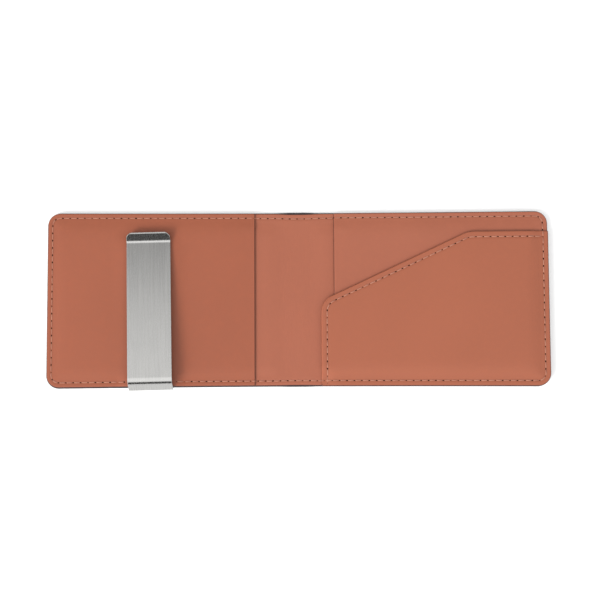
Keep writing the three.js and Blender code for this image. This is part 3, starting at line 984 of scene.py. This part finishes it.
def make_lining(side, material):
    obj = leather_sheet(
        f"lining_leather_{side}",
        half_outline(side, RIM),
        LINING_THICKNESS,
        lining_height,
        material,
        seams=[EDGE_SEAM],
        wave_height=0,
        shift=lining_shift,
    )
    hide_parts(f"lining_{side}", "lining_spine")
    bend(obj)


def make_panel(name, node, side, mouth_x, height, material):
    corners = cover_corners(SIDES[side], mouth_x, RIM, SHARP_CORNER)
    obj = leather_sheet(
        name, Outline(corners), PANEL_THICKNESS, height, material, seams=[EDGE_SEAM]
    )
    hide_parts(node)
    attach(obj, f"{side}_cover")


def make_pocket(material):
    def outer_edge(x, y):
        return (edge_distance(x, y) < 1).astype(float)

    obj = leather_sheet(
        "card_pocket_leather",
        Outline(pocket_corners(POCKET_RIM)),
        PANEL_THICKNESS,
        pocket_height,
        material,
        bottom_height=pocket_underside,
        seams=[EDGE_SEAM, POCKET_SEAM],
        painted=outer_edge,
        rounding=0.42,
    )
    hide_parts("pocket_panel")
    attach(obj, "right_cover")


def make_seams(inner_materials, outer_materials):
    def outer_face(x, y):
        return np.full(x.shape, BACK_SEAM_HEIGHT)

    keeps = {"left": lambda x: x < 0, "right": lambda x: x >= 0}
    nodes = {
        "left": ["left_upper", "left_lower", "spine_upper"],
        "right": ["right", "spine_lower"],
    }
    for side, keep in keeps.items():
        inner = seam_objects(
            f"edge_{side}", EDGE_SEAM, upper_surface, 1, inner_materials, keep, lining_shift
        )
        outer = seam_objects(
            f"back_{side}",
            EDGE_SEAM,
            outer_face,
            -BACK_STITCH_ARCH,
            outer_materials,
            keep,
            shell_shift,
        )
        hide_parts(*(f"edge_thread_{part}" for part in nodes[side]))
        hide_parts(*(f"back_thread_{part}" for part in nodes[side]))
        for obj, slot in zip((*inner, *outer), ["inner_thread"] * 2 + ["outer_thread"] * 2):
            bend(obj)
    pocket = seam_objects(
        "pocket", POCKET_SEAM, pocket_height, 1, inner_materials, lambda x: True
    )
    for obj in pocket:
        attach(obj, "right_cover")
    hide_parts("pocket_thread")


def clip_path():
    """The strip's centre line as v and z: leg, turn, slanting face, arched arm and lip."""
    turn = math.pi - CLIP_FACET_ANGLE
    turn_corner = TURN_CENTRE_V - CLIP_BEND_RADIUS * math.tan(turn / 2)
    crease_v = turn_corner + (CREASE_Z - LEG_Z) / math.tan(CLIP_FACET_ANGLE)
    contact_v = TIP_V - CLIP_LIP_REACH
    path = open_path(
        [
            (LEG_END_V, LEG_Z),
            (turn_corner, LEG_Z, CLIP_BEND_RADIUS),
            (crease_v, CREASE_Z, CLIP_CREASE_RADIUS),
            (contact_v, CONTACT_Z, CLIP_CONTACT_RADIUS),
            (TIP_V, CONTACT_Z + CLIP_LIP_RISE),
        ],
        0.25,
    )
    share = np.clip((path[:, 0] - crease_v) / (contact_v - crease_v), 0, 1)
    on_arm = path[:, 1] > TURN_CENTRE_Z
    path[:, 1] += np.where(on_arm, CLIP_BOW * 4 * share * (1 - share), 0)
    return path


def strip_section(half_width, thickness):
    """A flat bar's section with rounded long edges, as places across and through it."""
    r = min(CLIP_EDGE_ROUNDING, thickness / 2 - 0.01)
    w, t = half_width - r, thickness / 2 - r
    points = []
    for first, (cx, cz) in zip((-90, 0, 90, 180), ((w, -t), (w, t), (-w, t), (-w, -t))):
        for k in range(4):
            angle = math.radians(first + 30 * k)
            points.append((cx + r * math.cos(angle), cz + r * math.sin(angle)))
    across = np.array([1 - 0.15 / w, 0.9, 0.7, 0.5, 0.25, 0])
    across = np.concatenate([across, -across[-2::-1]])
    top = [(w * s, thickness / 2) for s in across]
    under = [(-w * s, -thickness / 2) for s in across]
    return points[:8] + top + points[8:] + under


def make_clip(material):
    path = clip_path()
    lengths = path_lengths(path)
    total = lengths[-1]
    even = np.linspace(4.5, total - 4.5, CLIP_SECTIONS)
    near_end = [total - place for place in CLIP_END_SECTIONS]
    places = sorted({0, total, *CLIP_END_SECTIONS, *near_end, *even})
    vertices, rest = [], []
    for place in places:
        centre, along = on_path(path, lengths, place, 0.15)
        normal = np.array([along[1], -along[0]])
        half = CLIP_WIDTH / 2
        for left, radius in ((place, CLIP_LEG_CORNER), (total - place, CLIP_LIP_CORNER)):
            if left < radius:
                half -= radius - math.sqrt(radius**2 - (radius - left) ** 2)
        near = min(place, total - place, CLIP_END_ROUNDING) / CLIP_END_ROUNDING
        thickness = CLIP_THICKNESS * (0.5 + 0.5 * math.sqrt(1 - (1 - near) ** 2))
        for across, through in strip_section(half, thickness):
            point = centre + normal * through
            placed = CLIP_FRAME @ Vector((across, point[0], point[1]))
            vertices.append(placed)
            rest.append((across * MM, place * MM, through * MM))
    faces = tube_faces(len(places), len(vertices) // len(places))
    obj = mesh_object("clip_strip", np.array(vertices), faces, material)
    rest = np.array(rest, np.float32)
    obj.data.attributes["rest"].data.foreach_set("vector", rest.ravel())
    uv = obj.data.uv_layers.new(name="strip")
    corners = np.array([loop.vertex_index for loop in obj.data.loops])
    uv.data.foreach_set("uv", (rest[corners, :2] / 0.1).ravel())
    tidy_mesh(obj)
    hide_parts("clip_leg", "clip_arm")
    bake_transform(obj)


def make_sleeve(material):
    """The sleeve's cloth: a floor under the clip's leg, turned up along both sides."""
    floor, rim = SLEEVE_LOW[2] + 0.02, SLEEVE_HIGH[2] - 0.03
    half, ply = CLIP_WIDTH / 2 + SLEEVE_GAP, SLEEVE_PLY
    section = [
        (-half - ply, rim), (-half - ply, floor + 0.15), (-half, floor),
        *((half * s, floor) for s in np.linspace(-0.95, 0.95, 16)),
        (half, floor), (half + ply, floor + 0.15), (half + ply, rim),
        (half, rim), (half, floor + 0.35), (half - 0.15, floor + ply),
        *((half * s, floor + ply) for s in np.linspace(0.95, -0.95, 16)),
        (-half + 0.15, floor + ply), (-half, floor + 0.35), (-half, rim),
    ]
    stations = np.linspace(SLEEVE_SHORT, LEG_END_V - SLEEVE_SHORT, 40)
    vertices = [CLIP_FRAME @ Vector((u, v, z)) for v in stations for u, z in section]
    faces = tube_faces(len(stations), len(section))
    obj = mesh_object("clip_sleeve_cloth", np.array(vertices), faces, material)
    tidy_mesh(obj)
    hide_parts("clip_sleeve")
    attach(obj, "left_cover")


def make_pocket_cloth(material):
    """The cloth inside the card pocket, glued to the back of its leather."""
    corners = [
        (x + 0.01, y, max(r, SHARP_CORNER)) for x, y, r in pocket_corners(6.2, 5.6)
    ]
    outline = Outline(corners)
    count = len(outline.ring(0))
    points, triangles = fill(outline.ring(0), FILL_SPACING)
    size = len(points)
    x, y = points.T
    top = pocket_height(x, y) - PANEL_THICKNESS - 0.02
    bottom = top - CLOTH_THICKNESS
    y = waist(x, y)
    vertices = np.vstack([np.column_stack([x, y, top]), np.column_stack([x, y, bottom])])
    faces = [tuple(t) for t in triangles] + [(a + size, c + size, b + size) for a, b, c in triangles]
    faces += [(i, i + size, (i + 1) % count + size, (i + 1) % count) for i in range(count)]
    obj = mesh_object("pocket_cloth", vertices, faces, material)
    tidy_mesh(obj)
    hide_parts("pocket_lining")
    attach(obj, "right_cover")
    x, y = outline.ring(0).T


# ---- Floor, light and camera ----


def make_floor():
    n = Nodes("white_floor")
    n.fix(Base_Color=(FLOOR_GREY, FLOOR_GREY, FLOOR_GREY, 1), Roughness=0.9)
    n.fix(Specular_IOR_Level=0.1, Emission_Color=(1, 1, 1, 1), Emission_Strength=FLOOR_GLOW)
    size = FLOOR_REACH
    mesh = bpy.data.meshes.new("floor")
    corners = [(-size, -size, 0), (size, -size, 0), (size, size, 0), (-size, size, 0)]
    mesh.from_pydata(corners, [], [(0, 1, 2, 3)])
    mesh.materials.append(n.material)
    floor = bpy.data.objects.new("floor", mesh)
    floor.location.z = -FLOOR_DROP
    bpy.context.collection.objects.link(floor)


def make_key_light():
    """A square lamp aimed at the wallet. The steel and the gloss don't mirror it."""
    light = bpy.data.lights.new("key", "AREA")
    light.shape = "RECTANGLE"
    light.size = light.size_y = KEY_LIGHT_SIZE
    light.energy = KEY_LIGHT_POWER
    lamp = bpy.data.objects.new("key", light)
    lamp.visible_glossy = False
    lamp.location = KEY_LIGHT_PLACE
    lamp.rotation_euler = (-Vector(KEY_LIGHT_PLACE)).to_track_quat("-Z", "Y").to_euler()
    bpy.context.collection.objects.link(lamp)


def make_world():
    """A sky that is bright overhead and in front, dark at its lowest there, and dim behind."""
    world = bpy.data.worlds.new("studio")
    bpy.context.scene.world = world
    world.use_nodes = True
    nodes, links = world.node_tree.nodes, world.node_tree.links
    parts = nodes.new("ShaderNodeSeparateXYZ")
    links.new(nodes.new("ShaderNodeTexCoord").outputs["Generated"], parts.inputs[0])

    def spread(axis, low, high):
        node = nodes.new("ShaderNodeMapRange")
        node.inputs["From Min"].default_value = -1
        node.inputs["To Min"].default_value = low
        node.inputs["To Max"].default_value = high
        links.new(parts.outputs[axis], node.inputs["Value"])
        return node.outputs["Result"]

    ramp = nodes.new("ShaderNodeValToRGB")
    links.new(spread("Y", 0, 1), ramp.inputs["Fac"])
    elements = ramp.color_ramp.elements
    while len(elements) < len(LIGHT_BOX):
        elements.new(0.5)
    for element, (forward, value) in zip(elements, LIGHT_BOX):
        element.position = (forward + 1) / 2
        element.color = (value, value, value, 1)
    strength = nodes.new("ShaderNodeMath")
    strength.operation = "MULTIPLY"
    links.new(ramp.outputs["Color"], strength.inputs[0])
    left, right = (WORLD_STRENGTH * (1 + sign * WORLD_SIDE_CHANGE) for sign in (1, -1))
    links.new(spread("X", left, right), strength.inputs[1])
    links.new(strength.outputs["Value"], nodes["Background"].inputs["Strength"])
    nodes["Background"].inputs["Color"].default_value = (1, 1, 1, 1)


def make_camera():
    camera = bpy.data.cameras.new("camera")
    camera.sensor_width = 36
    camera.lens = camera.sensor_width * CAMERA_DISTANCE / VIEW_WIDTH
    camera.clip_start = 0.01
    obj = bpy.data.objects.new("camera", camera)
    backwards = Vector((0, -math.sin(CAMERA_TILT), math.cos(CAMERA_TILT)))
    obj.location = Vector(CAMERA_AIM) + CAMERA_DISTANCE * backwards
    turn = Matrix.Rotation(CAMERA_TILT, 3, "X") @ Matrix.Rotation(-CAMERA_ROLL, 3, "Z")
    obj.rotation_euler = turn.to_euler()
    bpy.context.collection.objects.link(obj)
    bpy.context.scene.camera = obj


def main():
    bpy.context.scene.view_settings.view_transform = "Standard"
    make_camera()
    make_floor()
    make_world()
    make_key_light()

    tan = leather("tan_leather", PANEL_TAN, PAINTED_EDGE, 0.5)
    tan_lining = leather("tan_lining_leather", LINING_TAN, PAINTED_EDGE, 0.5, creased=True)
    tan_pocket = leather("tan_pocket_leather", POCKET_TAN, POCKET_PAINTED_EDGE, 0.5)
    dark = leather("dark_leather", OUTER_LEATHER, OUTER_PAINTED_EDGE, 0.42, creased=True)
    thread = thread_material("tan_thread", INNER_THREAD, INNER_THREAD_SHADE)
    back_thread = thread_material("dark_thread", OUTER_THREAD, OUTER_THREAD_SHADE)
    # the stitch holes' materials are painted shade
    hole = hole_shade_material("stitch_hole_shade", INNER_HOLE_SHADE)
    back_hole = hole_shade_material("back_stitch_hole_shade", OUTER_HOLE_SHADE)
    steel = brushed_steel("brushed_steel")
    cloth = woven("brown_lining_cloth", LINING_CLOTH)
    board = grey_board("grey_board", BOARD_GREY)

    for side in SIDES:
        make_shell(side, dark)
        make_lining(side, tan_lining)
        frame["nodes"][f"board_{side}"].data.materials.clear()
        frame["nodes"][f"board_{side}"].data.materials.append(board)
    make_panel("clip_panel_leather", "clip_panel", "left", PANEL_MOUTH_X, clip_panel_height, tan)
    make_panel("slip_panel_leather", "slip_panel", "right", SLIP_MOUTH_X, slip_height, tan_lining)
    make_pocket(tan_pocket)
    make_seams((thread, hole), (back_thread, back_hole))
    make_clip(steel)
    make_sleeve(cloth)
    make_pocket_cloth(cloth)


main()
